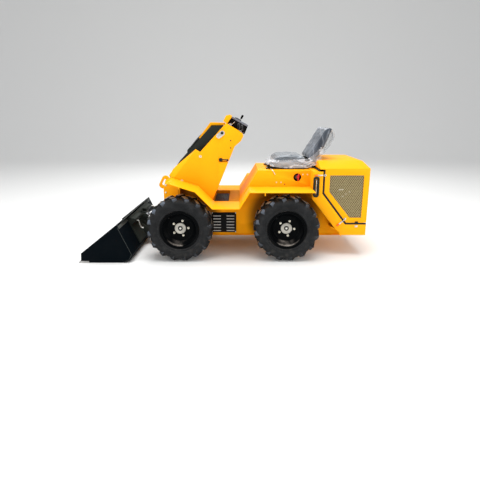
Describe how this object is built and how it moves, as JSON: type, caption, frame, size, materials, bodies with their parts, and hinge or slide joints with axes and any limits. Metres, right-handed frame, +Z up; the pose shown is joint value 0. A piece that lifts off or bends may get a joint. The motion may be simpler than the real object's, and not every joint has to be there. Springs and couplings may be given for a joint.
{
  "type": "compact ride-on skid steer loader",
  "caption": "Compact ride-on wheel loader that steers by skidding: central cranked boom with bucket, tower console, open seat and rear engine hood.",
  "frame": {"origin": "on the ground under the middle of the machine's bounding box", "axes": "+X to the rear (engine hood), -X to the bucket, +Y to the machine's right side, +Z up"},
  "size_m": [2.575, 1.122, 1.268],
  "materials": {
    "yellow_paint": "gloss",
    "black_paint": "satin",
    "chrome_rod": "polished",
    "bare_steel": "worn",
    "black_plastic": "matte",
    "seat_cover": "wrapped in film",
    "black_rubber": "matte",
    "engine_cast": "painted",
    "red_plastic": "gloss",
    "tyre": "new",
    "rim_black": "satin"
  },
  "bodies": {
    "chassis": {"frame": "yellow_paint", "wheel_motors": "engine_cast", "fender_left": "yellow_paint", "fender_right": "yellow_paint", "footwell": "yellow_paint", "footwell_mat": "black_rubber", "tower_left": "yellow_paint", "tower_right": "yellow_paint", "tower_rear_cover": "yellow_paint", "boom_pivot_pin": "bare_steel", "console": "black_plastic", "console_brackets": "yellow_paint", "control_levers": "black_plastic", "lift_foot_bracket": "black_paint", "seat_box": "yellow_paint", "battery_switch": "red_plastic", "seat_pan": "black_paint", "seat_cushion": "seat_cover", "seat_backrest": "seat_cover", "rear_frame": "yellow_paint", "engine": "engine_cast", "hood_seal": "black_rubber", "hood_latches": "bare_steel", "grab_bars": "black_paint", "louvre_panels": "black_paint", "tie_down_lugs": "yellow_paint"},
    "boom": {"boom": "black_paint", "hose_guard": "yellow_paint"},
    "lift_barrel": {"lift_barrel": "black_paint"},
    "lift_rod": {"lift_rod": "chrome_rod"},
    "tilt_barrel": {"tilt_barrel": "black_paint"},
    "tilt_rod": {"tilt_rod": "chrome_rod"},
    "bucket": {"quick_hitch": "black_paint", "bucket_shell": "black_paint", "cutting_edge": "bare_steel", "spill_guard": "black_paint"},
    "hood": {"hood": "yellow_paint", "hood_grille_left": "yellow_paint", "hood_grille_right": "yellow_paint"},
    "wheel_front_left": {"tyre_front_left": "tyre", "rim_front_left": "rim_black"},
    "wheel_front_right": {"tyre_front_right": "tyre", "rim_front_right": "rim_black"},
    "wheel_rear_left": {"tyre_rear_left": "tyre", "rim_rear_left": "rim_black"},
    "wheel_rear_right": {"tyre_rear_right": "tyre", "rim_rear_right": "rim_black"}
  },
  "joints": [
    {"name": "boom_lift", "type": "hinge", "parent": "chassis", "child": "boom", "pos_m": [-0.04, 0, 1.096], "axis": [0, 1, 0], "range_deg": [0, 78]},
    {"name": "lift_barrel_swing", "type": "hinge", "parent": "chassis", "child": "lift_barrel", "pos_m": [-0.15, 0, 0.38], "axis": [0, 1, 0], "range_deg": [-0.61, 2.56]},
    {"name": "lift_rod_slide", "type": "slide", "parent": "lift_barrel", "child": "lift_rod", "axis": [-0.1244, 0, 0.9922], "range_m": [-0.002, 0.2792]},
    {"name": "bucket_tilt", "type": "hinge", "parent": "boom", "child": "bucket", "pos_m": [-0.77, 0, 0.135], "axis": [0, 1, 0], "range_deg": [-90, 25]},
    {"name": "tilt_barrel_swing", "type": "hinge", "parent": "boom", "child": "tilt_barrel", "pos_m": [-0.44, 0, 0.54], "axis": [0, 1, 0], "range_deg": [-5.75, 2.04]},
    {"name": "tilt_rod_slide", "type": "slide", "parent": "tilt_barrel", "child": "tilt_rod", "axis": [-0.8167, 0, -0.5771], "range_m": [-0.0597, 0.2096]},
    {"name": "hood_hinge", "type": "hinge", "parent": "chassis", "child": "hood", "pos_m": [1.2805, 0, 0.309], "axis": [0, 1, 0], "range_deg": [0, 70]},
    {"name": "wheel_front_left_spin", "type": "hinge", "parent": "chassis", "child": "wheel_front_left", "pos_m": [-0.394, -0.443, 0.29], "axis": [0, 1, 0], "continuous": true},
    {"name": "wheel_front_right_spin", "type": "hinge", "parent": "chassis", "child": "wheel_front_right", "pos_m": [-0.394, 0.443, 0.29], "axis": [0, 1, 0], "continuous": true},
    {"name": "wheel_rear_left_spin", "type": "hinge", "parent": "chassis", "child": "wheel_rear_left", "pos_m": [0.542, -0.443, 0.29], "axis": [0, 1, 0], "continuous": true},
    {"name": "wheel_rear_right_spin", "type": "hinge", "parent": "chassis", "child": "wheel_rear_right", "pos_m": [0.542, 0.443, 0.29], "axis": [0, 1, 0], "continuous": true}
  ],
  "couplings": [
    {"joint": "lift_barrel_swing", "follows": "boom_lift", "ratio": 0.02499},
    {"joint": "lift_rod_slide", "follows": "boom_lift", "m_per_rad": 0.2036},
    {"joint": "tilt_barrel_swing", "follows": "bucket_tilt", "ratio": 0.05707},
    {"joint": "tilt_rod_slide", "follows": "bucket_tilt", "m_per_rad": -0.13215}
  ]
}
